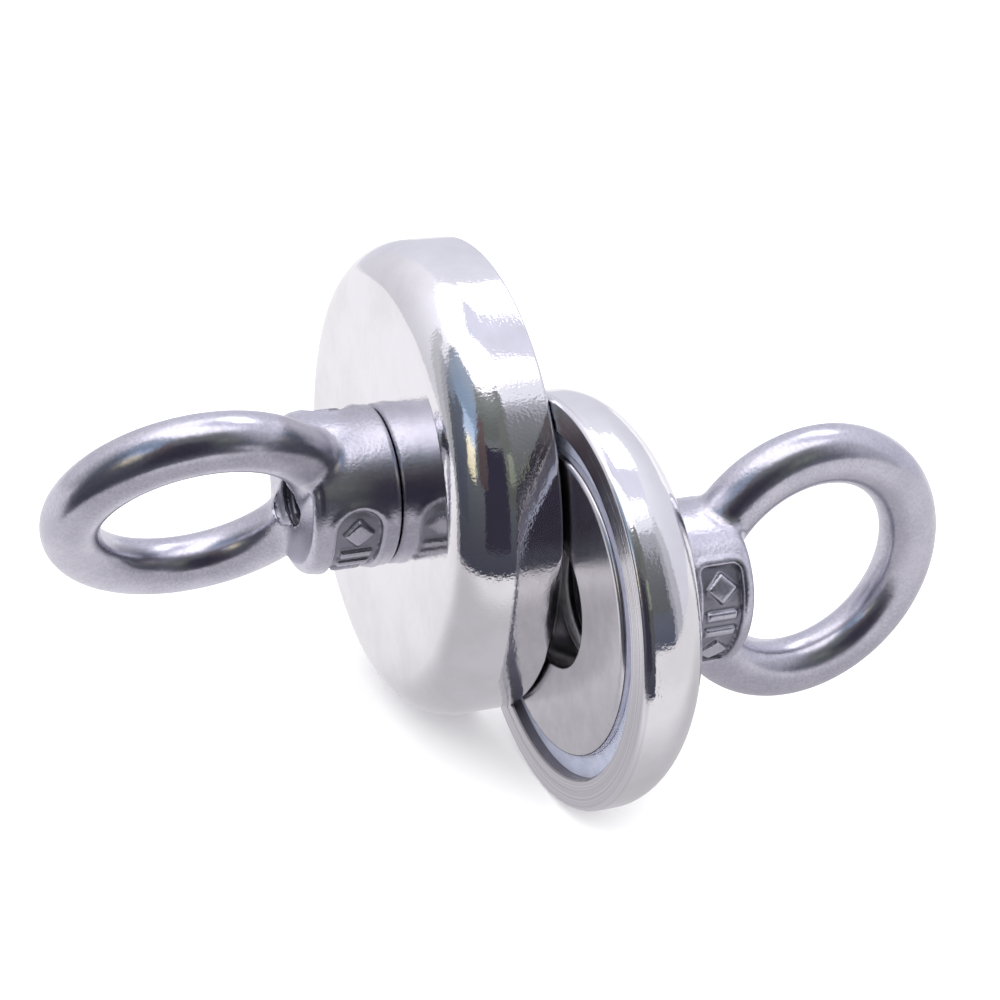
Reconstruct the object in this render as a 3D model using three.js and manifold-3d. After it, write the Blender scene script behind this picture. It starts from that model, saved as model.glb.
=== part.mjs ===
// A magnet fishing pair: two single-sided pot magnets clamped together pole face to pole face.
// Each magnet is a steel pot with a ring magnet bedded and sealed inside it, and a countersunk
// screw that comes through the pot's back into a cast eye nut for the rope.
// Millimetres. +X runs from the large magnet's eye to the small magnet's eye, and +Z is up:
// both pots stand on their edges on the plane z = 0.
import * as THREE from 'three';
import { mergeVertices } from 'three/addons/utils/BufferGeometryUtils.js';
import Module from 'manifold-3d';

const wasm = await Module();
wasm.setup();

// ---- Sizes that differ between the two magnets ----
const largeSizes = {
  name: 'large',
  diameter: 60,
  thickness: 12.2,
  shoulderAcross: 5.6, // rounding of the back edge, measured across the axis
  shoulderAlong: 6.6, // and along it
  rimWidth: 4.6,
  resinWidth: 3.1,
  eyeTurn: 52.7, // degrees from flat, about the magnet's own axis
};
const smallSizes = {
  name: 'small',
  diameter: 49.6,
  thickness: 11,
  shoulderAcross: 12.6,
  shoulderAlong: 8.2,
  rimWidth: 3.8,
  resinWidth: 2.6,
  eyeTurn: 95.2,
};
const sidewaysShift = 26.6; // how far the small magnet has been slid off the large one, level

// ---- Sizes that both magnets share ----
const potBase = 5;
const rimBevel = 0.5;
const cupBevel = 0.3;
const resinSunk = 1.2;
const bedThickness = 0.5;
const magnetHole = 16.2;
const magnetBevel = 0.5;

const threadDiameter = 8;
const headDiameter = 15.2;
const headEdge = 0.5;
const screwLength = 12; // over the head, as countersunk screws are measured
const screwTipBevel = 0.8;
const socketAcrossFlats = 5;
const socketDepth = 2.8;

const bossDiameter = 20.2;
const bossHeight = 10.8;
const bossFootBevel = 0.6;
const bossTopBevel = 1.4;
const ringThickness = 7.1;
const ringCentreHeight = 22.9; // above the face that seats on the pot
const ringMeanHeight = 29.8; // the ring's centre line, along the axis
const ringMeanWidth = 31; // and across it
const boreMouthBevel = 0.7;

// ---- Clearances ----
const pieceGap = 0.3;
const threadGap = 0.15;
const headSunk = 0.2;

// ---- Roundness: sides of each turned shape, with a flat side at the bottom ----
const potSides = 64;
const nutSides = 40;
const screwSides = 32;
const shoulderSteps = 6;
const ringSides = 44;
const ringSectionSides = 14;

const nickel = { color: 0xd9d9de, metalness: 1, roughness: 0.12 };
const magnetNickel = { color: 0xc4bfc0, metalness: 1, roughness: 0.25 };
const stainless = { color: 0x9c9aaa, metalness: 1, roughness: 0.32 };
const screwSteel = { color: 0xb4b4b8, metalness: 1, roughness: 0.3 };
const resin = { color: 0xdcdcf0, metalness: 0, roughness: 0.45 };
const adhesive = { color: 0xb9b08f, metalness: 0, roughness: 0.6 };

// A solid of revolution about +X from an outline of [radius, height] points, where height runs
// along the axis. An outline that starts off the axis closes on itself. Radii are measured
// across the flat sides.
function turned(outline, sides) {
  const stretch = 1 / Math.cos(Math.PI / sides);
  const points = outline.map(([radius, height]) => new THREE.Vector2(radius * stretch, height));
  if (outline[0][0] > 0) {
    points.push(points[0].clone());
  }
  const geometry = new THREE.LatheGeometry(points, sides, Math.PI / sides);
  geometry.rotateZ(-Math.PI / 2);
  return geometry;
}

// A geometry as a manifold-3d solid, with its shared vertices merged.
function solid(geometry) {
  const bare = geometry.clone();
  bare.deleteAttribute('normal');
  bare.deleteAttribute('uv');
  const merged = mergeVertices(bare, 1e-4);
  return new wasm.Manifold(new wasm.Mesh({
    numProp: 3,
    vertProperties: new Float32Array(merged.attributes.position.array),
    triVerts: new Uint32Array(merged.index.array),
  }));
}

// A manifold-3d solid back as a geometry.
function geometryOf(manifold) {
  const mesh = manifold.getMesh();
  const geometry = new THREE.BufferGeometry();
  geometry.setAttribute('position', new THREE.BufferAttribute(mesh.vertProperties, 3));
  geometry.setIndex(new THREE.BufferAttribute(mesh.triVerts, 1));
  geometry.computeVertexNormals();
  return geometry;
}

function piece(name, geometry, look) {
  const mesh = new THREE.Mesh(geometry, new THREE.MeshStandardMaterial(look));
  mesh.name = name;
  return mesh;
}

// ---- What each magnet's sizes lead to: heights are measured from its pole face ----
function layout(sizes) {
  const radius = sizes.diameter / 2;
  const cupRadius = radius - sizes.rimWidth;
  const cupFloor = sizes.thickness - potBase;
  const magnetRadius = cupRadius - sizes.resinWidth;
  const magnetBack = cupFloor - bedThickness - 2 * pieceGap;
  return { radius, cupRadius, cupFloor, magnetRadius, magnetBack };
}

// A steel cup with a rounded back edge and a countersunk hole through its base. The outline also
// marks the round seat of the eye nut on its flat back.
function potGeometry(sizes) {
  const { radius, cupRadius, cupFloor } = layout(sizes);
  const holeRadius = threadDiameter / 2 + pieceGap;
  const sinkRadius = headDiameter / 2 + pieceGap;
  const sinkFloor = cupFloor + headSunk + headEdge;
  const shoulderStart = sizes.thickness - sizes.shoulderAlong;
  const outline = [
    [cupRadius + cupBevel, 0],
    [radius - rimBevel, 0],
    [radius, rimBevel],
  ];
  for (let step = 0; step <= shoulderSteps; step += 1) {
    const angle = (step / shoulderSteps) * (Math.PI / 2);
    outline.push([
      radius - sizes.shoulderAcross * (1 - Math.cos(angle)),
      shoulderStart + sizes.shoulderAlong * Math.sin(angle),
    ]);
  }
  outline.push(
    [bossDiameter / 2 + pieceGap, sizes.thickness],
    [holeRadius, sizes.thickness],
    [holeRadius, sinkFloor + sinkRadius - holeRadius],
    [sinkRadius, sinkFloor],
    [sinkRadius, cupFloor],
    [cupRadius, cupFloor],
    [cupRadius, cupBevel],
  );
  return turned(outline, potSides);
}

// The ring magnet lies flush with the pot's rim.
function magnetGeometry(sizes) {
  const { magnetRadius, magnetBack } = layout(sizes);
  const holeRadius = magnetHole / 2;
  return turned([
    [holeRadius + magnetBevel, 0],
    [magnetRadius - magnetBevel, 0],
    [magnetRadius, magnetBevel],
    [magnetRadius, magnetBack - magnetBevel],
    [magnetRadius - magnetBevel, magnetBack],
    [holeRadius + magnetBevel, magnetBack],
    [holeRadius, magnetBack - magnetBevel],
    [holeRadius, magnetBevel],
  ], potSides);
}

// The film of adhesive that the magnet is bedded on.
function bedGeometry(sizes) {
  const { magnetRadius, magnetBack } = layout(sizes);
  return turned([
    [magnetHole / 2, magnetBack + pieceGap],
    [magnetRadius, magnetBack + pieceGap],
    [magnetRadius, magnetBack + pieceGap + bedThickness],
    [magnetHole / 2, magnetBack + pieceGap + bedThickness],
  ], potSides);
}

// The cast resin that fills the ring between magnet and pot, a little below the rim.
function resinGeometry(sizes) {
  const { cupRadius, cupFloor, magnetRadius } = layout(sizes);
  return turned([
    [magnetRadius + pieceGap, resinSunk],
    [cupRadius - pieceGap, resinSunk],
    [cupRadius - pieceGap, cupFloor - pieceGap],
    [magnetRadius + pieceGap, cupFloor - pieceGap],
  ], potSides);
}

// A countersunk screw with a hexagon socket. Its head sits at height 0 and it points along +X.
function screwGeometry() {
  const shankRadius = threadDiameter / 2;
  const headRadius = headDiameter / 2;
  const blank = turned([
    [0, 0],
    [headRadius, 0],
    [headRadius, headEdge],
    [shankRadius, headEdge + headRadius - shankRadius],
    [shankRadius, screwLength - screwTipBevel],
    [shankRadius - screwTipBevel, screwLength],
    [0, screwLength],
  ], screwSides);
  const socket = new THREE.CylinderGeometry(
    socketAcrossFlats / Math.sqrt(3), socketAcrossFlats / Math.sqrt(3), 2 * socketDepth, 6);
  socket.rotateZ(Math.PI / 2);
  return geometryOf(solid(blank).subtract(solid(socket)));
}

// A cast eye nut: a round boss with a ring on top, lying in the XY plane, threaded right through.
// It seats at height 0 and its ring points along +X.
function eyeNutGeometry() {
  const bossRadius = bossDiameter / 2;
  const boreRadius = threadDiameter / 2 + threadGap;
  const ringHoleFloor = ringCentreHeight - ringMeanHeight / 2 + ringThickness / 2;
  const boss = turned([
    [0, 0],
    [bossRadius - bossFootBevel, 0],
    [bossRadius, bossFootBevel],
    [bossRadius, bossHeight - bossTopBevel],
    [bossRadius - bossTopBevel, bossHeight],
    [0, bossHeight],
  ], nutSides);
  const ring = new THREE.TorusGeometry(
    ringMeanHeight / 2, ringThickness / 2, ringSectionSides, ringSides);
  ring.scale(1, (ringMeanWidth + ringThickness) / (ringMeanHeight + ringThickness), 1);
  ring.translate(ringCentreHeight, 0, 0);
  const bore = turned([
    [0, -boreMouthBevel],
    [boreRadius + 2 * boreMouthBevel, -boreMouthBevel],
    [boreRadius, boreMouthBevel],
    [boreRadius, ringHoleFloor - boreMouthBevel],
    [boreRadius + 2 * boreMouthBevel, ringHoleFloor + boreMouthBevel],
    [0, ringHoleFloor + boreMouthBevel],
  ], screwSides);
  return geometryOf(solid(boss).add(solid(ring)).subtract(solid(bore)));
}

// One whole magnet, with its pole face in the plane x = 0 and its eye along +X.
function magnetAssembly(sizes) {
  const { cupFloor } = layout(sizes);
  const screw = piece(`${sizes.name}_screw`, screwGeometry(), screwSteel);
  screw.position.x = cupFloor + headSunk;
  const eyeNut = piece(`${sizes.name}_eye_nut`, eyeNutGeometry(), stainless);
  eyeNut.position.x = sizes.thickness + pieceGap;
  eyeNut.rotation.x = THREE.MathUtils.degToRad(sizes.eyeTurn);
  const assembly = new THREE.Group();
  assembly.add(
    piece(`${sizes.name}_pot`, potGeometry(sizes), nickel),
    piece(`${sizes.name}_ring_magnet`, magnetGeometry(sizes), magnetNickel),
    piece(`${sizes.name}_adhesive_bed`, bedGeometry(sizes), adhesive),
    piece(`${sizes.name}_resin_ring`, resinGeometry(sizes), resin),
    screw,
    eyeNut,
  );
  return assembly;
}

// The pair: the large magnet points its eye along -X, the small one along +X, and both pots touch
// the same level surface, so the small one's axis lies lower by the difference of their radii.
function magnetPair() {
  const large = magnetAssembly(largeSizes);
  large.rotation.z = Math.PI;
  large.position.x = -pieceGap / 2;
  const small = magnetAssembly(smallSizes);
  small.position.set(
    pieceGap / 2,
    -sidewaysShift,
    (smallSizes.diameter - largeSizes.diameter) / 2,
  );
  const pair = new THREE.Group();
  pair.add(large, small);
  const box = new THREE.Box3().setFromObject(pair, true);
  const centre = box.getCenter(new THREE.Vector3());
  pair.position.set(-centre.x, -centre.y, -box.min.z);
  return pair;
}

export default magnetPair();
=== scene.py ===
import math

import bpy
import numpy as np
from mathutils import Matrix, Vector


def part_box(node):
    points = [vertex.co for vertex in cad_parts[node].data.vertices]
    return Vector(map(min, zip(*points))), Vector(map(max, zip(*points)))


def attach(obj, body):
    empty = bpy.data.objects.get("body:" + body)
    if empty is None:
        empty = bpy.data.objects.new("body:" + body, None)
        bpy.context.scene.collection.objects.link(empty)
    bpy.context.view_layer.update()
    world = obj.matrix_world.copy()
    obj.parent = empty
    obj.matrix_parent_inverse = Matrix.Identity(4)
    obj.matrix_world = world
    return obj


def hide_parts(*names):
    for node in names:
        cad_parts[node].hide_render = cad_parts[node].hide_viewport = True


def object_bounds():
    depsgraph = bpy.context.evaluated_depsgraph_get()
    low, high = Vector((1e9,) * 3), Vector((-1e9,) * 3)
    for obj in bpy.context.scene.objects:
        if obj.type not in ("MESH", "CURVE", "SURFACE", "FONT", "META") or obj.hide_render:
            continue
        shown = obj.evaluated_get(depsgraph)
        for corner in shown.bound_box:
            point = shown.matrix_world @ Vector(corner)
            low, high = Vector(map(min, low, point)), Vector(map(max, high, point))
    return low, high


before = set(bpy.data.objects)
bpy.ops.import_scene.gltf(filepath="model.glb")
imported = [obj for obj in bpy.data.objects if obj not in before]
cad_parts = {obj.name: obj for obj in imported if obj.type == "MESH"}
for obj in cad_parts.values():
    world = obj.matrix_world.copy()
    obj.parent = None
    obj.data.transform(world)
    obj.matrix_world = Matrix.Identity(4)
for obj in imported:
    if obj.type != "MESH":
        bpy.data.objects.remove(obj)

cad_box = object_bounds()
MM = 0.001
AXIAL = Vector((1, 0, 0))

# ---- Shapes that a box can't give, in millimetres ----
TURNED_SIDES = 320
ARC_STEPS = 10
SHADING_MARGIN = 0.06  # how close to each end a straight stretch gets an extra ring of points
SHORTEST_SUPPORTED = 6 * SHADING_MARGIN
TURNED_SHARP = 32  # edges that bend by more degrees than this look sharp
SCREW_SHARP = 38
CASTING_SHARP = 50

RIM_WIDTH = {"large": 4.6, "small": 3.8}
SHOULDER_ACROSS = {"large": 5.6, "small": 12.6}
SHOULDER_ALONG = {"large": 6.6, "small": 8.2}
EYE_TURN = {"large": 52.7, "small": 95.2}  # degrees from flat, about the magnet's own axis
POT_BASE = 5
RIM_ROUNDING = {"large": (0.5, 0.5), "small": (0.55, 1.25)}  # across the axis, and along it
RIM_REACH = {"large": 0.0, "small": 0.24}  # how far the rim stands past the magnet's face
CUP_BEVEL = 0.25
RIM_STEP_AT = 0.36  # share of the rim's width, from its inner edge, where the lathe left a step
RIM_STEP_DEPTH = 0.06
HOLE_RADIUS = 4.3
SINK_RADIUS = 7.9
SINK_DEPTH = 0.7
INSIDE_MARGIN = 0.01  # how near the cup's wall a point counts as its inside

MAGNET_HOLE_RADIUS = 7.7
MAGNET_SINK = {"large": 0.0, "small": 0.15}  # how far the face lies behind its CAD face
MAGNET_ROUNDING = 0.6
RESIN_GAP = 0.02
RESIN_SINK = 0.25  # how much deeper the resin lies than its CAD ring
RESIN_CLIMB = 0.12  # how far the resin has crept up the walls
RESIN_POINTS = 21
BED_BEAD = 0.45

THREAD_PITCH = 1.25
THREAD_MINOR_RADIUS = 3.36
THREAD_MAJOR_RADIUS = 4.0
THREAD_CLEARANCE = 0.12
THREAD_ROOT = 0.12  # share of a half turn that is flat root, and the share that is flank
THREAD_FLANK = 0.72
STEPS_PER_TURN = 16
SCREW_SIDES = 120
HEAD_RADIUS = 7.6
HEAD_EDGE = 0.5
HEAD_BEVEL_ACROSS = 0.2
HEAD_BEVEL_ALONG = 0.15
SOCKET_ACROSS_FLATS = 5
SOCKET_DEPTH = 2.8
SOCKET_CORNER = 0.05
SOCKET_MOUTH = ((0, 0.3), (0.25, 0.02), (0.4, 0))  # its bevel: wider by, and deeper by
DRILL_SHARE = 0.72  # of the socket's width, taken by the cone at its floor
DRILL_DEPTH = 0.5
DRILL_POINT = 0.02
THREAD_START = 0.15
THREAD_END = 0.02
SCREW_TIP_BEVEL = 0.8
SCREW_TIP_STEP = 0.1

BOSS_RADIUS = 10.1
BOSS_HEIGHT = 10.8
BOSS_FOOT_ROUNDING = 0.55
BOSS_TOP_ROUNDING = 1.5
SEAT_REACH = 0.24  # how far the boss stands past its CAD foot, to sit on the pot
RING_RADIUS = 3.55
RING_CENTRE = 22.9
RING_HALF_HEIGHT = 14.9
RING_STRETCH = 1.0325  # how much wider than tall the eye is
CAST_FILLET = 1.3
PAD_DEPTH = 0.65
PAD_LIP = 0.14
PAD_LIP_WIDTH = 1.1
PAD_FILLET = 0.35
PADS = {
    # the recessed marking pads: centre and half size along the axis, half length around the boss
    "large": {"centre": 5.1, "half_width": 2.9, "half_length": 8.0, "corner": 2.9},
    "small": {"centre": 6.2, "half_width": 2.6, "half_length": 7.4, "corner": 1.0},
}
MARK_SPACING = 4.6
MARK_REACH = 2.0
BAR_OFFSET = 1.15
BAR_HALF_WIDTH = 0.6
MARK_ROUNDING = 0.55
MARK_FILLET = 0.3
BORE_MOUTH_SINK = 0.6  # where the cone at the foot ends, and the one inside the eye
EYE_MOUTH_SINK = 0.5
MOUTH_WIDENING = 0.3
MOUTH_REACH = 0.8
DIAGONAL = 0.7  # turns a sum of two distances into the distance to a slope of 45 degrees

NET_STEP = 0.25
SETTLING_STEPS = 3
PROBE_SHARE = 0.1  # of a net step, over which the field's slope is measured
LEAST_STEEPNESS = 0.2
MOVE_SHARE = 0.4  # of a net step, the farthest that a point moves at once


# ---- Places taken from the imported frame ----
def magnet_frame(size):
    """The matrix from one magnet's own frame to the row frame."""
    low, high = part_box(f"{size}_pot")
    face_x = high.x if size == "large" else low.x
    turn = math.pi if size == "large" else 0.0
    place = Matrix.Translation((face_x, (low.y + high.y) / 2, (low.z + high.z) / 2))
    return place @ Matrix.Rotation(turn, 4, "Z")


def span(node, size):
    """Where a CAD node starts and ends along its magnet's own axis, in millimetres."""
    to_own = magnet_frame(size).inverted()
    ends = sorted((to_own @ corner).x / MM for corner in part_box(node))
    return ends[0], ends[1]


def radius_of(node):
    """Half the height of a round CAD node, in millimetres."""
    low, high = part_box(node)
    return (high.z - low.z) / 2 / MM


# ---- Mesh building ----
def mesh_object(name, vertices, faces, matrix, sharp_degrees=TURNED_SHARP):
    """A smooth-shaded object from vertices in millimetres, placed by a matrix."""
    mesh = bpy.data.meshes.new(name)
    corners = (np.asarray(vertices) * MM).tolist()
    mesh.from_pydata(corners, [], faces.tolist() if isinstance(faces, np.ndarray) else faces)
    mesh.validate()
    mesh.shade_smooth()
    mesh.set_sharp_from_angle(angle=math.radians(sharp_degrees))
    made = bpy.data.objects.new(name, mesh)
    bpy.context.scene.collection.objects.link(made)
    made.matrix_world = matrix
    return made


def keep_values(made, name, values):
    """One value for each point of the mesh, kept for its material."""
    kept = made.data.attributes.new(name, "FLOAT", "POINT")
    kept.data.foreach_set("value", np.array(values, np.float32))


def arc(centre, across, along, start, end, steps=ARC_STEPS):
    """Points [radius, height] of an elliptical arc; angles in degrees from outward to upward."""
    angles = np.radians(np.linspace(start, end, steps + 1))
    return [[centre[0] + across * math.cos(a), centre[1] + along * math.sin(a)] for a in angles]


def with_supports(outline):
    """A closed outline with extra points near the ends of its long straight stretches, so that
    flat faces shade flat right up to their rounded edges."""
    points = [np.array(point, float) for point in outline]
    points.append(points[0])
    supported = [points[0]]
    for start, end in zip(points, points[1:]):
        length = np.linalg.norm(end - start)
        if length > SHORTEST_SUPPORTED:
            inset = (end - start) / length * SHADING_MARGIN
            supported += [start + inset, end - inset]
        supported.append(end)
    return np.array(supported[:-1])


def revolved(radii, heights, closed):
    """Vertices and faces of a skin around +X, from arrays of [station, side]. A skin that isn't
    closed is capped by a point on the axis at each end."""
    stations, sides = radii.shape
    angles = np.linspace(0, 2 * math.pi, sides, endpoint=False)
    skin = np.stack([heights, radii * np.cos(angles), radii * np.sin(angles)], -1).reshape(-1, 3)
    station = np.arange(stations if closed else stations - 1)[:, None] * sides
    beyond = (station + sides) % (stations * sides)
    side = np.arange(sides)[None, :]
    after = (side + 1) % sides
    faces = np.stack([station + side, beyond + side, beyond + after, station + after], -1)
    faces = faces.reshape(-1, 4)
    if closed:
        return skin, faces
    first, last = len(skin), len(skin) + 1
    caps = np.array([[heights[0].mean(), 0, 0], [heights[-1].mean(), 0, 0]])
    start_of_last = (stations - 1) * sides
    faces = faces.tolist()
    for i in range(sides):
        j = (i + 1) % sides
        faces.append([first, i, j])
        faces.append([last, start_of_last + j, start_of_last + i])
    return np.vstack([skin, caps]), faces


def turned(name, outline, matrix):
    """A turned solid with a hole, from a closed outline of [radius, height] points."""
    stations = with_supports(outline)
    radii = np.repeat(stations[:, :1], TURNED_SIDES, 1)
    heights = np.repeat(stations[:, 1:], TURNED_SIDES, 1)
    vertices, faces = revolved(radii, heights, closed=True)
    return mesh_object(name, vertices, faces, matrix)


# ---- The turned pieces ----
def build_pot(size, matrix):
    """The plated steel cup: a stepped rim, a rounded shoulder and a countersunk hole. Which
    points lie inside the cup is kept for the painted shade in its material."""
    radius = radius_of(f"{size}_pot")
    thickness = span(f"{size}_pot", size)[1]
    cup_radius = radius - RIM_WIDTH[size]
    cup_floor = thickness - POT_BASE
    step_radius = cup_radius + RIM_STEP_AT * RIM_WIDTH[size]
    across, along = SHOULDER_ACROSS[size], SHOULDER_ALONG[size]
    sink_floor = cup_floor + SINK_DEPTH
    rim = -RIM_REACH[size]
    round_across, round_along = RIM_ROUNDING[size]
    outline = [
        [cup_radius, rim + CUP_BEVEL + RIM_STEP_DEPTH],
        [cup_radius + CUP_BEVEL, rim + RIM_STEP_DEPTH],
        [step_radius, rim + RIM_STEP_DEPTH],
        [step_radius + RIM_STEP_DEPTH, rim],
    ]
    rim_centre = [radius - round_across, rim + round_along]
    outline += arc(rim_centre, round_across, round_along, 270, 360)
    shoulder_centre = [radius - across, thickness - along]
    outline += arc(shoulder_centre, across, along, 0, 90, 4 * ARC_STEPS)
    outline += [
        [HOLE_RADIUS + CUP_BEVEL, thickness],
        [HOLE_RADIUS, thickness - CUP_BEVEL],
        [HOLE_RADIUS, sink_floor + SINK_RADIUS - HOLE_RADIUS],
        [SINK_RADIUS, sink_floor],
        [SINK_RADIUS, cup_floor],
        [cup_radius, cup_floor],
    ]
    made = turned(f"{size}_pot_shell", outline, matrix)
    wall = (cup_radius + INSIDE_MARGIN) * MM
    floor = cup_floor * MM
    keep_values(made, "inside", [
        math.hypot(vertex.co.y, vertex.co.z) < wall and vertex.co.x < floor
        for vertex in made.data.vertices
    ])
    return made


def build_ring_magnet(size, matrix):
    """The plated ring magnet, with every edge rounded."""
    radius = radius_of(f"{size}_ring_magnet")
    front, back = span(f"{size}_ring_magnet", size)
    front += MAGNET_SINK[size]
    rounding = MAGNET_ROUNDING
    outline = []
    for across, height, start in (
        (MAGNET_HOLE_RADIUS + rounding, front + rounding, 180),
        (radius - rounding, front + rounding, 270),
        (radius - rounding, back - rounding, 0),
        (MAGNET_HOLE_RADIUS + rounding, back - rounding, 90),
    ):
        outline += arc([across, height], rounding, rounding, start, start + 90)
    return turned(f"{size}_magnet_ring", outline, matrix)


def build_resin(size, matrix):
    """The cast resin: its surface sags between the walls that it has crept up."""
    pot_radius = radius_of(f"{size}_pot")
    inner = radius_of(f"{size}_ring_magnet") + RESIN_GAP
    outer = pot_radius - RIM_WIDTH[size] - RESIN_GAP
    front, back = span(f"{size}_resin_ring", size)
    front += RESIN_SINK
    middle = (inner + outer) / 2
    half = (outer - inner) / 2
    outline = [
        [middle + half * t, front - RESIN_CLIMB * abs(t) ** 3]
        for t in np.linspace(-1, 1, RESIN_POINTS)
    ]
    outline += [[outer, back], [inner, back]]
    return turned(f"{size}_resin_fill", outline, matrix)


def build_bed(size, matrix):
    """The film of adhesive under the magnet, squeezed out into a bead at the hole."""
    radius = radius_of(f"{size}_adhesive_bed")
    front, back = span(f"{size}_adhesive_bed", size)
    middle = (front + back) / 2
    outline = arc([MAGNET_HOLE_RADIUS, middle], BED_BEAD, (back - front) / 2, 90, 270)
    outline += arc([radius - BED_BEAD, middle], BED_BEAD, (back - front) / 2, 270, 450)
    return turned(f"{size}_adhesive_film", outline, matrix)


def thread_depth(turns):
    """From 0 at the root to 1 at the crest, for a position in turns along a 60 degree thread."""
    ridge = 1 - 2 * np.abs(turns - np.floor(turns) - 0.5)
    return np.clip((ridge - THREAD_ROOT) / THREAD_FLANK, 0, 1)


def build_screw(size, matrix):
    """A countersunk screw with a hexagon socket and a real helical thread."""
    start, tip = span(f"{size}_screw", size)
    angles = np.linspace(0, 2 * math.pi, SCREW_SIDES, endpoint=False)
    facet = np.mod(angles, math.pi / 3) - math.pi / 6
    hexagon = SOCKET_ACROSS_FLATS / 2 / np.cos(facet)
    circle = np.ones(SCREW_SIDES)
    stations = [
        (DRILL_POINT * circle, start + SOCKET_DEPTH + DRILL_DEPTH),
        (DRILL_SHARE * hexagon, start + SOCKET_DEPTH),
        (hexagon, start + SOCKET_DEPTH - SOCKET_CORNER),
    ]
    stations += [(hexagon + wider, start + deeper) for wider, deeper in SOCKET_MOUTH]
    stations += [
        ((HEAD_RADIUS - HEAD_BEVEL_ACROSS) * circle, start),
        (HEAD_RADIUS * circle, start + HEAD_BEVEL_ALONG),
        (HEAD_RADIUS * circle, start + HEAD_EDGE),
        (THREAD_MAJOR_RADIUS * circle, start + HEAD_EDGE + HEAD_RADIUS - THREAD_MAJOR_RADIUS),
    ]
    shank_start = stations[-1][1]
    step = THREAD_PITCH / STEPS_PER_TURN
    for height in np.arange(shank_start + THREAD_START, tip - THREAD_END, step):
        crest = thread_depth(height / THREAD_PITCH - angles / (2 * math.pi))
        run_in = min(1, (height - shank_start) / THREAD_PITCH)
        depth = (THREAD_MAJOR_RADIUS - THREAD_MINOR_RADIUS) * (1 - crest) * run_in
        point = THREAD_MAJOR_RADIUS - max(0, height - (tip - SCREW_TIP_BEVEL))
        stations.append((np.minimum(THREAD_MAJOR_RADIUS - depth, point), height))
    tip_radius = THREAD_MAJOR_RADIUS - SCREW_TIP_BEVEL - SCREW_TIP_STEP
    stations.append((tip_radius * circle, tip))
    radii = np.array([radius for radius, height in stations])
    heights = np.repeat(np.array([[height] for radius, height in stations]), SCREW_SIDES, 1)
    vertices, faces = revolved(radii, heights, closed=False)
    return mesh_object(f"{size}_countersunk_screw", vertices, faces, matrix, SCREW_SHARP)


# ---- The cast eye nuts, as a field that is negative inside the metal ----
def smooth_union(first, second, radius):
    """Both solids, with a fillet of about that radius where they meet."""
    share = np.clip(0.5 + 0.5 * (second - first) / radius, 0, 1)
    return second + (first - second) * share - radius * share * (1 - share)


def smooth_cut(solid, cutter, radius):
    """The solid less the cutter, with its new edge rounded."""
    return -smooth_union(-solid, cutter, radius)


def rounded_rectangle(u, v, half_u, half_v, corner):
    """Signed distance to a rounded rectangle."""
    past_u = np.abs(u) - (half_u - corner)
    past_v = np.abs(v) - (half_v - corner)
    outside = np.hypot(np.maximum(past_u, 0), np.maximum(past_v, 0))
    return outside + np.minimum(np.maximum(past_u, past_v), 0) - corner


def boss_field(x, from_axis):
    """The round boss, more rounded at its outer end than at its foot."""
    half = (BOSS_HEIGHT + SEAT_REACH) / 2
    middle = (BOSS_HEIGHT - SEAT_REACH) / 2
    rounding = np.where(x > middle, BOSS_TOP_ROUNDING, BOSS_FOOT_ROUNDING)
    past_side = from_axis - (BOSS_RADIUS - rounding)
    past_end = np.abs(x - middle) - (half - rounding)
    outside = np.hypot(np.maximum(past_side, 0), np.maximum(past_end, 0))
    return outside + np.minimum(np.maximum(past_side, past_end), 0) - rounding


def ring_field(x, y, z):
    """The eye: a round bar bent into an oval in the plane z = 0."""
    around = np.hypot(x - RING_CENTRE, y / RING_STRETCH)
    return np.hypot(around - RING_HALF_HEIGHT, z) - RING_RADIUS


def marks(along, across):
    """Plain raised figures in a row along a pad: a lozenge, a pair of bars, a lozenge."""
    lozenges = np.abs(np.abs(along) - MARK_SPACING) + np.abs(across) - MARK_REACH
    past_bar = np.abs(np.abs(along) - BAR_OFFSET) - BAR_HALF_WIDTH
    bars = np.maximum(past_bar, np.abs(across) - MARK_REACH)
    return np.minimum(lozenges * DIAGONAL, bars)


def pad_field(size, x, y, z, from_axis):
    """The pair of recessed pads, one on each side of the boss: the cutter and its raised lip."""
    pad = PADS[size]
    along = BOSS_RADIUS * np.arctan2(y, np.abs(z))
    across = x - pad["centre"]
    edge = rounded_rectangle(along, across, pad["half_length"], pad["half_width"], pad["corner"])
    top = from_axis - BOSS_RADIUS
    figures = -smooth_union(-marks(along, across), -top, MARK_ROUNDING)
    recess = np.maximum(edge, BOSS_RADIUS - PAD_DEPTH - from_axis)
    cutter = smooth_cut(recess, figures, MARK_FILLET)
    lip = PAD_LIP * np.exp(-((edge - PAD_LIP_WIDTH / 2) / (PAD_LIP_WIDTH / 2)) ** 2)
    return cutter, lip


def bore_field(x, y, z, from_axis, thread_turn):
    """The threaded bore, with its helix in step with the screw's, and its countersunk mouths."""
    turns = x / THREAD_PITCH - np.arctan2(z, y) / (2 * math.pi) - thread_turn
    mouth_x = RING_CENTRE - RING_HALF_HEIGHT + RING_RADIUS
    groove = np.where(x > mouth_x, 1, thread_depth(turns))
    wall = THREAD_MINOR_RADIUS + (THREAD_MAJOR_RADIUS - THREAD_MINOR_RADIUS) * groove
    bore = from_axis - wall - THREAD_CLEARANCE
    flare = np.maximum(BORE_MOUTH_SINK - x, x - (mouth_x - EYE_MOUTH_SINK))
    past_cone = from_axis - THREAD_MINOR_RADIUS - MOUTH_WIDENING - flare
    cone = np.maximum(past_cone * DIAGONAL, np.abs(flare) - MOUTH_REACH)
    return np.maximum(np.minimum(bore, cone), x - RING_CENTRE)


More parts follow.
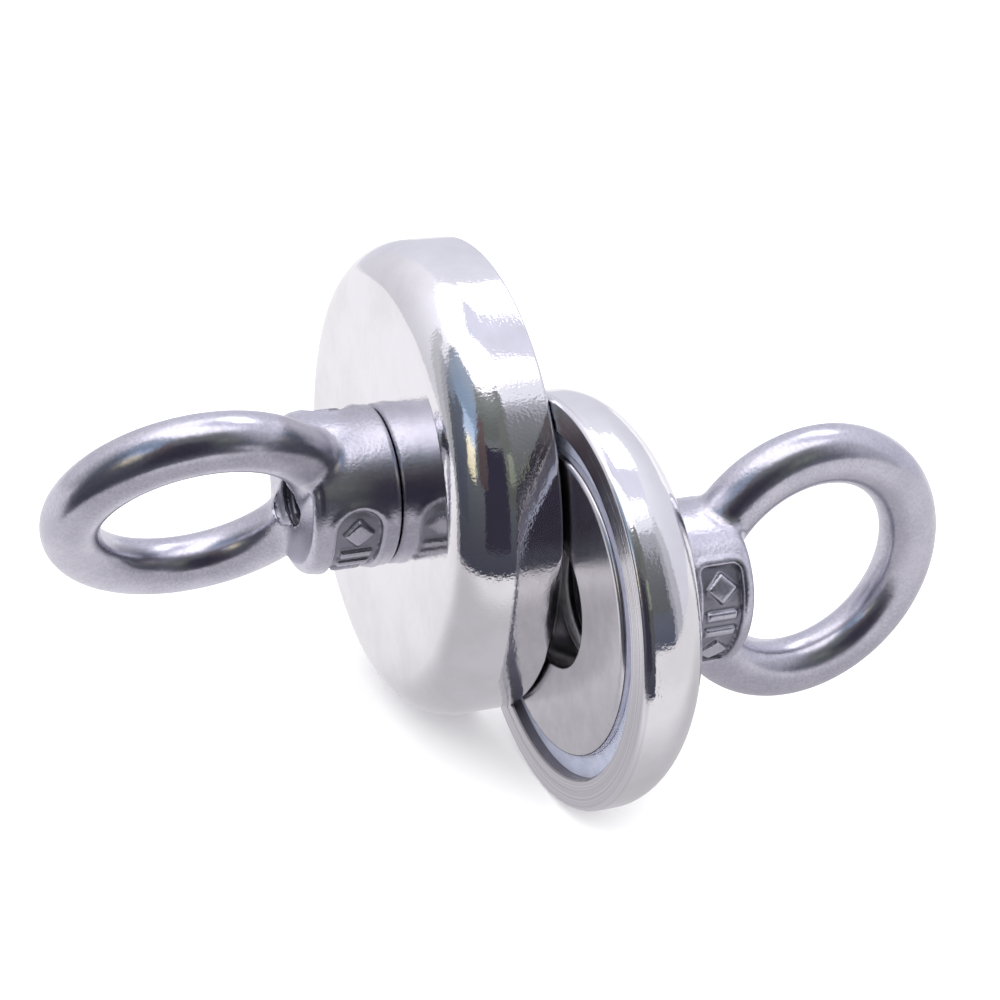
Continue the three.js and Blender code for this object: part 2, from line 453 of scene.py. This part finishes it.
def eye_nut_field(size, thread_turn):
    """The whole casting as one function of points, with a switch for its plain outer form."""
    def field(points, plain=False):
        """Below zero inside the metal, and near the surface about the distance to it."""
        x, y, z = points[..., 0], points[..., 1], points[..., 2]
        from_axis = np.hypot(y, z)
        cutter, lip = pad_field(size, x, y, z, from_axis)
        boss = boss_field(x, from_axis) - lip
        metal = smooth_union(boss, ring_field(x, y, z), CAST_FILLET)
        if plain:
            return metal
        metal = smooth_cut(metal, cutter, PAD_FILLET)
        return np.maximum(metal, -bore_field(x, y, z, from_axis, thread_turn))
    return field


def crossings(values, axis):
    """Which grid edges along an axis the surface crosses, and how far along each one."""
    start = np.take(values, range(values.shape[axis] - 1), axis)
    end = np.take(values, range(1, values.shape[axis]), axis)
    crossed = (start < 0) != (end < 0)
    share = np.where(crossed, start / np.where(crossed, start - end, 1), 0)
    return crossed, share, start < 0


def surface_net(field, low, high, step):
    """Vertices and four-sided faces of the surface where a field is zero: one vertex in each grid
    cell that the surface crosses, moved onto the surface."""
    lines = [np.arange(a, b + step, step) for a, b in zip(low, high)]
    values = field(np.stack(np.meshgrid(*lines, indexing="ij"), -1))
    cells = np.array(values.shape) - 1
    total = np.zeros((*cells, 3))
    count = np.zeros(cells)
    edges = [crossings(values, axis) for axis in range(3)]
    for axis, (crossed, share, starts_inside) in enumerate(edges):
        first, second = [other for other in range(3) if other != axis]
        for i in (0, 1):
            for j in (0, 1):
                window = [slice(None)] * 3
                window[first] = slice(i, i + cells[first])
                window[second] = slice(j, j + cells[second])
                hit = crossed[tuple(window)]
                total[..., axis] += share[tuple(window)]
                total[..., first] += i * hit
                total[..., second] += j * hit
                count += hit
    used = count > 0
    number = np.full(tuple(cells), -1)
    number[used] = np.arange(used.sum())
    vertices = (np.argwhere(used) + total[used] / count[used][:, None]) * step + np.array(low)
    faces = []
    for axis, (crossed, share, starts_inside) in enumerate(edges):
        first, second = (axis + 1) % 3, (axis + 2) % 3
        at = np.argwhere(crossed)
        inner = (at[:, first] > 0) & (at[:, second] > 0)
        inner &= (at[:, first] < cells[first]) & (at[:, second] < cells[second])
        at = at[inner]
        corners = []
        for i, j in ((1, 1), (0, 1), (0, 0), (1, 0)):
            cell = at.copy()
            cell[:, first] -= i
            cell[:, second] -= j
            corners.append(number[tuple(cell.T)])
        quads = np.stack(corners, -1)
        outward = starts_inside[tuple(at.T)]
        faces.append(np.where(outward[:, None], quads, quads[:, ::-1]))
    for _ in range(SETTLING_STEPS):
        vertices = onto_surface(field, vertices, step)
    return vertices, np.vstack(faces)


def onto_surface(field, vertices, step):
    """Vertices moved towards the field's zero surface by one careful Newton step."""
    probe = PROBE_SHARE * step
    slope = np.zeros_like(vertices)
    for axis in range(3):
        offset = np.zeros(3)
        offset[axis] = probe
        slope[:, axis] = (field(vertices + offset) - field(vertices - offset)) / (2 * probe)
    steepness = np.maximum((slope ** 2).sum(1), LEAST_STEEPNESS)
    move = -field(vertices)[:, None] * slope / steepness[:, None]
    return vertices + np.clip(move, -MOVE_SHARE * step, MOVE_SHARE * step)


def build_eye_nut(size, matrix):
    """The cast eye nut, with how deep each point lies in a recess kept for the painted shade
    in its material.
    """
    seat = span(f"{size}_eye_nut", size)[0]
    own = matrix @ Matrix.Translation(AXIAL * seat * MM)
    own = own @ Matrix.Rotation(math.radians(EYE_TURN[size]), 4, "X")
    thread_turn = EYE_TURN[size] / 360 - seat / THREAD_PITCH
    field = eye_nut_field(size, thread_turn)
    step = NET_STEP
    reach = (RING_HALF_HEIGHT + RING_RADIUS) * RING_STRETCH + step
    low = (-SEAT_REACH - 1.5 * step, -reach, -BOSS_RADIUS - 2 * step)
    high = (RING_CENTRE + reach, reach, BOSS_RADIUS + 2 * step)
    vertices, faces = surface_net(field, low, high, step)
    made = mesh_object(f"{size}_cast_eye_nut", vertices, faces, own, CASTING_SHARP)
    keep_values(made, "recess", np.clip(-field(vertices, plain=True) / PAD_DEPTH, 0, 1))
    return made


# ---- Material building ----
def add(tree, kind, inputs=None, **settings):
    """A shader node with its settings; each input is linked to a socket or set to a value."""
    made = tree.nodes.new(kind)
    for name, value in settings.items():
        setattr(made, name, value)
    for name, value in (inputs or {}).items():
        socket = made.inputs[name]
        if isinstance(value, bpy.types.NodeSocket):
            tree.links.new(value, socket)
        else:
            socket.default_value = value
    return made


def new_material(name):
    """A material with one Principled shader, and the piece's own coordinates."""
    made = bpy.data.materials.new(name)
    made.use_nodes = True
    tree = made.node_tree
    shader = tree.nodes["Principled BSDF"]
    place = tree.nodes.new("ShaderNodeTexCoord").outputs["Object"]
    return made, tree, shader, place


def calculate(tree, operation, first, second=0.0):
    """The result of one sum on sockets or values."""
    return add(tree, "ShaderNodeMath", {0: first, 1: second}, operation=operation).outputs[0]


def part_of(tree, place, axis):
    """One coordinate of a place."""
    return add(tree, "ShaderNodeSeparateXYZ", {"Vector": place}).outputs[axis]


def between(tree, value, start, end, low=0.0, high=1.0):
    """A value eased from low to high as it goes from start to end."""
    inputs = {"Value": value, "From Min": start, "From Max": end, "To Min": low, "To Max": high}
    return add(tree, "ShaderNodeMapRange", inputs, interpolation_type="SMOOTHSTEP").outputs[0]


def noise(tree, place, size_mm, detail=2.0, roughness=0.5):
    """Noise whose blobs are about that many millimetres across."""
    inputs = {"Vector": place, "Scale": 1 / (size_mm * MM), "Detail": detail}
    inputs["Roughness"] = roughness
    return add(tree, "ShaderNodeTexNoise", inputs).outputs["Fac"]


def dots(tree, place, size_mm):
    """The distance to the nearest of many scattered points, that far apart."""
    inputs = {"Vector": place, "Scale": 1 / (size_mm * MM), "Randomness": 1.0}
    return add(tree, "ShaderNodeTexVoronoi", inputs).outputs["Distance"]


def kept_value(tree, name):
    """A value kept at each point of the mesh."""
    return add(tree, "ShaderNodeAttribute", attribute_name=name).outputs["Fac"]


def blended(tree, share, first, second):
    """One colour turning into another, each a socket or three numbers."""
    mix = add(tree, "ShaderNodeMix", data_type="RGBA")
    inputs = {"Factor": share, "A": first, "B": second}
    for socket in mix.inputs:
        if not socket.enabled:
            continue
        value = inputs[socket.name]
        if isinstance(value, bpy.types.NodeSocket):
            tree.links.new(value, socket)
        else:
            socket.default_value = (*value, 1)
    return next(socket for socket in mix.outputs if socket.enabled)


def bumped(tree, height, depth_mm, normal=None):
    """A bump of that depth, on top of another one."""
    inputs = {"Height": height, "Distance": depth_mm * MM, "Strength": 1.0}
    if normal is not None:
        inputs["Normal"] = normal
    return add(tree, "ShaderNodeBump", inputs).outputs["Normal"]


def lathe_lines(tree, place, line_mm):
    """Random fine rings around the magnet's axis, as a cutting tool leaves them."""
    y, z = part_of(tree, place, "Y"), part_of(tree, place, "Z")
    squares = calculate(tree, "ADD",
                        calculate(tree, "MULTIPLY", y, y),
                        calculate(tree, "MULTIPLY", z, z))
    from_axis = calculate(tree, "SQRT", squares)
    across_lines = calculate(tree, "SUBTRACT", from_axis, part_of(tree, place, "X"))
    inputs = {"W": across_lines, "Scale": 1 / (line_mm * MM), "Detail": 2.0}
    return add(tree, "ShaderNodeTexNoise", inputs, noise_dimensions="1D").outputs["Fac"]


# ---- The metals and fillings, whose colours are linear red, green and blue ----
NICKEL = (0.86, 0.855, 0.87)
NICKEL_STAIN = (0.79, 0.78, 0.79)
NICKEL_RIM = (0.81, 0.80, 0.83)
NICKEL_GROOVE = (0.50, 0.48, 0.49)
# painted shade: the colour of the nickel inside the cup, darkened as where shade falls
NICKEL_CUP_SHADE = (0.30, 0.28, 0.29)
NICKEL_GLOSS = (0.04, 0.11)
SATIN = (0.76, 0.74, 0.765)
SATIN_MOTTLE = (0.68, 0.66, 0.685)
SATIN_ROUGHNESS = (0.16, 0.24)
STAINLESS = (0.64, 0.635, 0.70)
STAINLESS_SPECKLE = (0.54, 0.535, 0.60)
# painted shade in the casting's recesses and bore, also darkening its pits
STAINLESS_SHADE_AND_PITS = (0.2, 0.2, 0.235)
STAINLESS_ROUGHNESS = (0.19, 0.27)
STEEL = (0.60, 0.60, 0.62)
STEEL_STAIN = (0.48, 0.48, 0.50)
STEEL_ROUGHNESS = (0.18, 0.30)
RESIN = (0.40, 0.42, 0.53)
RESIN_CLOUD = (0.34, 0.36, 0.46)
RESIN_ROUGHNESS = (0.28, 0.42)
ADHESIVE = (0.72, 0.72, 0.76)
ADHESIVE_CLOUD = (0.60, 0.60, 0.65)
ADHESIVE_ROUGHNESS = (0.35, 0.6)
RIM_LINE_WIDTH = 0.26
SCREW_LINE_WIDTH = 0.12


def nickel_plate():
    """Bright nickel over turned steel: wavy like orange peel, lathe lines on the rim, and painted
    shade inside the cup."""
    made, tree, shader, place = new_material("bright_nickel")
    lines = lathe_lines(tree, place, RIM_LINE_WIDTH)
    on_rim = between(tree, part_of(tree, place, "X"), 0.15 * MM, 0.6 * MM, low=1, high=0)
    shader.inputs["Metallic"].default_value = 1

    stains = between(tree, noise(tree, place, 9, detail=4, roughness=0.6), 0.35, 0.7)
    plate = blended(tree, stains, NICKEL, NICKEL_STAIN)
    groove = between(tree, lines, 0.40, 0.62, low=0.38, high=0)
    rim_plate = blended(tree, on_rim, plate, NICKEL_RIM)
    rim_groove = calculate(tree, "MULTIPLY", on_rim, groove)
    turned_face = blended(tree, rim_groove, rim_plate, NICKEL_GROOVE)
    # Painted shade inside the cup: its wall and floor are darkened.
    inside = kept_value(tree, "inside")
    colour = blended(tree, inside, turned_face, NICKEL_CUP_SHADE)
    tree.links.new(colour, shader.inputs["Base Color"])

    smudges = noise(tree, place, 4, detail=5, roughness=0.65)
    gloss = between(tree, smudges, 0.3, 0.8, *NICKEL_GLOSS)
    rougher = calculate(tree, "MAXIMUM", on_rim, calculate(tree, "MULTIPLY", inside, 2.5))
    roughness = calculate(tree, "ADD", gloss, calculate(tree, "MULTIPLY", rougher, 0.10))
    tree.links.new(roughness, shader.inputs["Roughness"])

    waves = bumped(tree, noise(tree, place, 5.5, detail=1), 0.06)
    peel = bumped(tree, noise(tree, place, 0.36), 0.013, waves)
    line_share = between(tree, on_rim, 0, 1, low=0.05, high=1)
    normal = bumped(tree, calculate(tree, "MULTIPLY", lines, line_share), 0.025, peel)
    tree.links.new(normal, shader.inputs["Normal"])
    return made


def magnet_plate():
    """The magnet's own satin nickel, ground flat and slightly mottled."""
    made, tree, shader, place = new_material("satin_nickel")
    shader.inputs["Metallic"].default_value = 1
    mottle = between(tree, noise(tree, place, 3, detail=5, roughness=0.65), 0.3, 0.7)
    colour = blended(tree, mottle, SATIN, SATIN_MOTTLE)
    tree.links.new(colour, shader.inputs["Base Color"])
    grain = noise(tree, place, 0.25, detail=3, roughness=0.6)
    roughness = between(tree, grain, 0.2, 0.8, *SATIN_ROUGHNESS)
    tree.links.new(roughness, shader.inputs["Roughness"])
    swells = bumped(tree, noise(tree, place, 8, detail=1), 0.03)
    tree.links.new(bumped(tree, grain, 0.0012, swells), shader.inputs["Normal"])
    return made


def cast_stainless():
    """Tumbled stainless casting: smoother on the ring and pitted round the boss, with painted
    shade in its recesses and bore, and darker pits.
    """
    made, tree, shader, place = new_material("cast_stainless")
    shader.inputs["Metallic"].default_value = 1
    on_boss = between(tree, part_of(tree, place, "X"), 9 * MM, 17 * MM, low=1, high=0.25)
    pit = between(tree, dots(tree, place, 0.55), 0.08, 0.4, low=1, high=0)
    patches = between(tree, noise(tree, place, 3.5, detail=4), 0.42, 0.75)
    pit = calculate(tree, "MULTIPLY", calculate(tree, "MULTIPLY", pit, patches), on_boss)

    grain = noise(tree, place, 0.4, detail=4, roughness=0.65)
    cloud = noise(tree, place, 5, detail=5, roughness=0.6)
    speckle = calculate(tree, "ADD",
                        calculate(tree, "MULTIPLY", cloud, 0.5),
                        calculate(tree, "MULTIPLY", grain, 0.5))
    metal = blended(tree, between(tree, speckle, 0.38, 0.62), STAINLESS, STAINLESS_SPECKLE)
    # Painted shade: darker the deeper a point lies in a recess or the bore, and the pits a little
    # darker too.
    recess_shade_and_pits = calculate(tree, "MAXIMUM",
                      calculate(tree, "MULTIPLY", kept_value(tree, "recess"), 0.7),
                      calculate(tree, "MULTIPLY", pit, 0.25))
    colour = blended(tree, recess_shade_and_pits, metal, STAINLESS_SHADE_AND_PITS)
    tree.links.new(colour, shader.inputs["Base Color"])

    clean = between(tree, cloud, 0.2, 0.8, *STAINLESS_ROUGHNESS)
    roughness = calculate(tree, "ADD", clean, calculate(tree, "MULTIPLY", recess_shade_and_pits, 0.2))
    tree.links.new(roughness, shader.inputs["Roughness"])

    swells = bumped(tree, noise(tree, place, 4), 0.05)
    grained = bumped(tree, calculate(tree, "MULTIPLY", grain, on_boss), 0.04, swells)
    pitted = bumped(tree, calculate(tree, "SUBTRACT", 0.0, pit), 0.006, grained)
    tree.links.new(pitted, shader.inputs["Normal"])
    return made


def machined_steel():
    """The screw's bright machined steel, with fine tool rings."""
    made, tree, shader, place = new_material("machined_steel")
    shader.inputs["Metallic"].default_value = 1
    lines = lathe_lines(tree, place, SCREW_LINE_WIDTH)
    stains = between(tree, noise(tree, place, 2.5, detail=4), 0.35, 0.7)
    colour = blended(tree, stains, STEEL, STEEL_STAIN)
    tree.links.new(colour, shader.inputs["Base Color"])
    roughness = between(tree, lines, 0.2, 0.8, *STEEL_ROUGHNESS)
    tree.links.new(roughness, shader.inputs["Roughness"])
    tree.links.new(bumped(tree, lines, 0.006), shader.inputs["Normal"])
    return made


def milky_resin():
    """Pale casting resin with a few pinholes and cloudy streaks."""
    made, tree, shader, place = new_material("milky_resin")
    clouds = between(tree, noise(tree, place, 2.5, detail=4, roughness=0.6), 0.3, 0.7)
    colour = blended(tree, clouds, RESIN, RESIN_CLOUD)
    tree.links.new(colour, shader.inputs["Base Color"])
    roughness = between(tree, clouds, 0, 1, *RESIN_ROUGHNESS)
    tree.links.new(roughness, shader.inputs["Roughness"])
    shader.inputs["Subsurface Weight"].default_value = 0.25
    shader.inputs["Subsurface Radius"].default_value = (0.0012, 0.0012, 0.0018)
    pinhole = between(tree, dots(tree, place, 1.7), 0.04, 0.11, low=1, high=0)
    surface = bumped(tree, calculate(tree, "SUBTRACT", clouds, pinhole), 0.05)
    tree.links.new(surface, shader.inputs["Normal"])
    return made


def bedding_adhesive():
    """Cured pale adhesive, uneven where it was squeezed out."""
    made, tree, shader, place = new_material("bedding_adhesive")
    clouds = between(tree, noise(tree, place, 1.5, detail=4, roughness=0.6), 0.3, 0.7)
    colour = blended(tree, clouds, ADHESIVE, ADHESIVE_CLOUD)
    tree.links.new(colour, shader.inputs["Base Color"])
    roughness = between(tree, clouds, 0, 1, *ADHESIVE_ROUGHNESS)
    tree.links.new(roughness, shader.inputs["Roughness"])
    tree.links.new(bumped(tree, clouds, 0.08), shader.inputs["Normal"])
    return made


# ---- The studio, in metres and degrees ----
ROOM_BRIGHTNESS = 2.0
CAMERA_AZIMUTH = -24.09  # degrees from straight in front, towards the large magnet's eye
CAMERA_ELEVATION = 24.68
CAMERA_ROLL = 3.10
CAMERA_DISTANCE = 0.2413
CAMERA_LENS = 70.8
CAMERA_NEAREST = 0.01
AIM_OFF_CENTRE = Vector((0.65, 0.13, 0.84)) * MM

LAMP_AZIMUTH = -30
LAMP_ELEVATION = 65
LAMP_DISTANCE = 0.9
LAMP_SIZE = 0.6
LAMP_WATTS = 1.2

FLOOR_SIZE = 8.0
FLOOR_COLOUR = (0.97, 0.97, 0.975)
FLOOR_SPECKLE = (0.95, 0.95, 0.96)

TABLE_NEAR_AZIMUTHS = (-98, 20)
TABLE_NEAR = 0.088
TABLE_FAR = 0.75
TABLE_BELOW = 0.05 * MM
TABLE_DEGREES = 4  # how far apart the corners of the table card's edge are
TABLE_DEPTH = (-0.02, 0.07)  # where its glow changes from the front's to the back's
TABLE_FRONT_GLOW = (0.84, 0.82, 0.855)
TABLE_BACK_GLOW = (0.98, 0.96, 1.0)
TABLE_SHADE_GLOW = (0.58, 0.565, 0.60)
TABLE_SHADE_CENTRE = (-0.010, -0.022, 0)
TABLE_SHADE_SQUEEZE = (0.7, 2, 1)
TABLE_SHADE_REACH = (0.03, 0.09)

WALL_CARD_DEGREES = 3
WALL_CARD_DISTANCE = 0.75
WALL_CARD_STEP = 0.01
WALL_CARDS = (
    # name, azimuths, elevations, lower colour, upper colour: each stands in front of the last
    ("pale_wall_left", (-182, -94), (-6, 60), (0.73, 0.715, 0.77), (1.12, 1.10, 1.2)),
    ("pale_wall_right", (24, 182), (-6, 60), (0.75, 0.75, 0.84), (0.95, 0.95, 1.06)),
    ("overhead_lamp", (-135, 62), (57, 88), (1.8, 1.75, 1.85), (3.2, 3.1, 3.3)),
    ("overhead_wall", (62, 150), (57, 88), (0.85, 0.85, 1.0), (0.66, 0.68, 0.92)),
    ("overhead_left", (150, 225), (57, 88), (1.6, 1.57, 1.65), (1.2, 1.2, 1.35)),
    ("lamp_behind", (105, 150), (52, 64), (3.8, 3.7, 3.9), (4.0, 3.9, 4.1)),
    ("window_behind", (118, 142), (-25, 6), (1.15, 1.15, 1.2), (1.1, 1.1, 1.15)),
    ("grey_right_wall", (24, 60), (-6, 50), (0.50, 0.50, 0.56), (0.62, 0.62, 0.69)),
    ("soft_left_edge", (-106, -88), (-50, 40), (0.33, 0.33, 0.36), (0.44, 0.44, 0.49)),
    ("softer_left_edge", (-115, -104), (-20, 50), (0.52, 0.51, 0.54), (0.62, 0.62, 0.67)),
    ("grey_right_corner", (30, 43), (-8, 50), (0.36, 0.36, 0.42), (0.44, 0.44, 0.50)),
    ("dim_room", (-95, 31), (-50, 60), (0.025, 0.025, 0.055), (0.22, 0.235, 0.235)),
    ("dim_green", (-50, 27), (38, 59), (0.13, 0.14, 0.135), (0.26, 0.28, 0.28)),
    ("dim_corner", (-88, -70), (-8, 34), (0.07, 0.075, 0.10), (0.13, 0.15, 0.20)),
    ("darkest_part", (-36, 6), (-12, 34), (0.04, 0.036, 0.055), (0.035, 0.032, 0.055)),
    ("red_cloth", (-44, -28), (14, 45), (0.085, 0.065, 0.07), (0.15, 0.105, 0.11)),
    ("grey_doorway", (6, 27), (8, 46), (0.10, 0.11, 0.10), (0.17, 0.18, 0.17)),
    ("pale_pane", (12, 22), (17, 31), (0.24, 0.26, 0.21), (0.30, 0.33, 0.28)),
    ("dim_right_edge", (22, 37), (-8, 13), (0.09, 0.10, 0.15), (0.13, 0.14, 0.18)),
    ("grey_right_edge", (24, 33), (13, 46), (0.13, 0.135, 0.15), (0.22, 0.23, 0.25)),
    ("blue_window", (-90, -42), (36, 63), (0.27, 0.36, 0.50), (0.42, 0.48, 0.58)),
    ("blue_left_part", (-96, -84), (28, 50), (0.22, 0.26, 0.33), (0.36, 0.41, 0.50)),
    ("pale_blue_pane", (-70, -48), (26, 38), (0.62, 0.72, 0.90), (0.48, 0.62, 0.84)),
    ("warm_lamp", (-66, -51), (13, 28), (0.85, 0.77, 0.55), (1.15, 1.05, 0.82)),
)


def direction(azimuth, elevation):
    """A unit vector from the object, with azimuth 0 towards -Y and rising towards +X."""
    a, e = math.radians(azimuth), math.radians(elevation)
    return Vector((math.sin(a) * math.cos(e), -math.cos(a) * math.cos(e), math.sin(e)))


def facing(place, target):
    """The rotation that looks from a place to a target with +Z kept up."""
    return (target - place).to_track_quat("-Z", "Y").to_matrix().to_4x4()


def place_camera(centre):
    """The photograph's viewing angle."""
    aim = centre + AIM_OFF_CENTRE
    place = aim + direction(CAMERA_AZIMUTH, CAMERA_ELEVATION) * CAMERA_DISTANCE
    roll = Matrix.Rotation(math.radians(CAMERA_ROLL), 4, "Z")
    data = bpy.data.cameras.new("photo_camera")
    data.lens = CAMERA_LENS
    data.clip_start = CAMERA_NEAREST
    made = bpy.data.objects.new("photo_camera", data)
    bpy.context.scene.collection.objects.link(made)
    made.matrix_world = Matrix.Translation(place) @ facing(place, aim) @ roll
    bpy.context.scene.camera = made


def new_glow(name):
    """A material that only glows, with the socket for its colour, and places in metres."""
    made = bpy.data.materials.new(name)
    made.use_nodes = True
    tree = made.node_tree
    tree.nodes.clear()
    place = tree.nodes.new("ShaderNodeTexCoord").outputs["Object"]
    glow = tree.nodes.new("ShaderNodeEmission")
    out = tree.nodes.new("ShaderNodeOutputMaterial")
    tree.links.new(glow.outputs[0], out.inputs["Surface"])
    return made, tree, glow.inputs["Color"], place


def wall_glow(name, bottom, top, lower, upper):
    """A wall card's glow, turning from one colour to another between two heights."""
    made, tree, colour, place = new_glow(name)
    share = between(tree, part_of(tree, place, "Z"), bottom, top)
    tree.links.new(blended(tree, share, lower, upper), colour)
    return made


def table_glow(name):
    """The table's glow: a painted shadow close under the object, and painted shade in front of it,
    so it is brighter behind it than in front.
    """
    made, tree, colour, place = new_glow(name)
    far = between(tree, part_of(tree, place, "Y"), *TABLE_DEPTH)
    lit = blended(tree, far, TABLE_FRONT_GLOW, TABLE_BACK_GLOW)
    offset = add(tree, "ShaderNodeVectorMath", {0: place, 1: TABLE_SHADE_CENTRE},
                 operation="SUBTRACT").outputs[0]
    squeezed = add(tree, "ShaderNodeVectorMath", {0: offset, 1: TABLE_SHADE_SQUEEZE},
                   operation="MULTIPLY").outputs[0]
    away = add(tree, "ShaderNodeVectorMath", {0: squeezed}, operation="LENGTH").outputs["Value"]
    lighter = between(tree, away, *TABLE_SHADE_REACH)
    tree.links.new(blended(tree, lighter, TABLE_SHADE_GLOW, lit), colour)
    return made


def mirrored_only(name, corners, faces, glow):
    """A card, from corners in metres, that only shows as a reflection in the metal."""
    made = mesh_object(name, np.array(corners) / MM, faces, Matrix.Identity(4))
    made.data.materials.append(glow)
    made.visible_camera = False
    made.visible_diffuse = False
    made.visible_transmission = False
    made.visible_shadow = False


def build_wall_card(name, centre, distance, azimuths, elevations, lower, upper):
    """An upright curved strip round the object, between two azimuths and two elevations."""
    steps = max(2, int((azimuths[1] - azimuths[0]) / WALL_CARD_DEGREES))
    heights = [distance * math.tan(math.radians(e)) + centre.z for e in elevations]
    corners = []
    for azimuth in np.linspace(*azimuths, steps + 1):
        foot = direction(azimuth, 0) * distance
        corners += [(foot.x, foot.y, height) for height in heights]
    faces = [[2 * i, 2 * i + 2, 2 * i + 3, 2 * i + 1] for i in range(steps)]
    mirrored_only(name, corners, faces, wall_glow(name, *heights, lower, upper))


def build_table_card():
    """The white table as the metal mirrors it: it ends close by on the camera's side."""
    near_from, near_to = TABLE_NEAR_AZIMUTHS
    corners = [(0, 0, -TABLE_BELOW)]
    for azimuth in range(-180, 180, TABLE_DEGREES):
        reach = TABLE_NEAR if near_from < azimuth < near_to else TABLE_FAR
        edge = direction(azimuth, 0) * reach
        corners.append((edge.x, edge.y, -TABLE_BELOW))
    count = len(corners) - 1
    faces = [[0, 1 + i, 1 + (i + 1) % count] for i in range(count)]
    mirrored_only("mirrored_table", corners, faces, table_glow("mirrored_table"))


def build_room():
    """A bright white room, shown with its plain colours."""
    world = bpy.data.worlds.new("white_room")
    world.use_nodes = True
    background = world.node_tree.nodes["Background"]
    background.inputs["Color"].default_value = (1, 1, 1, 1)
    background.inputs["Strength"].default_value = ROOM_BRIGHTNESS
    bpy.context.scene.world = world
    bpy.context.scene.view_settings.view_transform = "Standard"


def build_floor():
    """A plain pale floor, level with the lowest points of both pots."""
    half = FLOOR_SIZE / 2 / MM
    corners = [(-half, -half, 0), (half, -half, 0), (half, half, 0), (-half, half, 0)]
    floor = mesh_object("pale_floor", corners, [[0, 1, 2, 3]], Matrix.Identity(4))
    made, tree, shader, place = new_material("pale_floor")
    speckle = noise(tree, place, 30, detail=3)
    colour = blended(tree, speckle, FLOOR_COLOUR, FLOOR_SPECKLE)
    tree.links.new(colour, shader.inputs["Base Color"])
    shader.inputs["Roughness"].default_value = 0.9
    shader.inputs["Specular IOR Level"].default_value = 0.1
    floor.data.materials.append(made)
    floor.visible_glossy = False


def build_lamp(centre):
    """One big soft lamp overhead, which the metal doesn't mirror: the cards are its image."""
    data = bpy.data.lights.new("soft_lamp", "AREA")
    data.size = LAMP_SIZE
    data.energy = LAMP_WATTS
    lamp = bpy.data.objects.new("soft_lamp", data)
    bpy.context.scene.collection.objects.link(lamp)
    place = centre + direction(LAMP_AZIMUTH, LAMP_ELEVATION) * LAMP_DISTANCE
    lamp.matrix_world = Matrix.Translation(place) @ facing(place, centre)
    lamp.visible_camera = False
    lamp.visible_glossy = False


def build_studio(centre):
    """A white room and floor, with everything round it that the bright metal mirrors."""
    build_room()
    build_floor()
    build_table_card()
    for i, (name, azimuths, elevations, lower, upper) in enumerate(WALL_CARDS):
        distance = WALL_CARD_DISTANCE - i * WALL_CARD_STEP
        build_wall_card(name, centre, distance, azimuths, elevations, lower, upper)
    build_lamp(centre)


# ---- Everything in place ----
PIECES = (
    # builder, CAD node and body it stands for, material slot and material
    (build_pot, "pot", "magnet", "nickel_plate", nickel_plate()),
    (build_ring_magnet, "ring_magnet", "magnet", "magnet_plate", magnet_plate()),
    (build_resin, "resin_ring", "magnet", "resin", milky_resin()),
    (build_bed, "adhesive_bed", "magnet", "adhesive", bedding_adhesive()),
    (build_screw, "screw", "screw", "screw_steel", machined_steel()),
    (build_eye_nut, "eye_nut", "eye_nut", "cast_stainless", cast_stainless()),
)
for size in ("large", "small"):
    for build, node, body, slot, look in PIECES:
        piece = build(size, magnet_frame(size))
        piece.data.materials.append(look)
        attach(piece, f"{size}_{body}")
        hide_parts(f"{size}_{node}")

box_centre = sum((Vector(corner) for corner in cad_box), Vector()) / 2
place_camera(box_centre)
build_studio(box_centre)
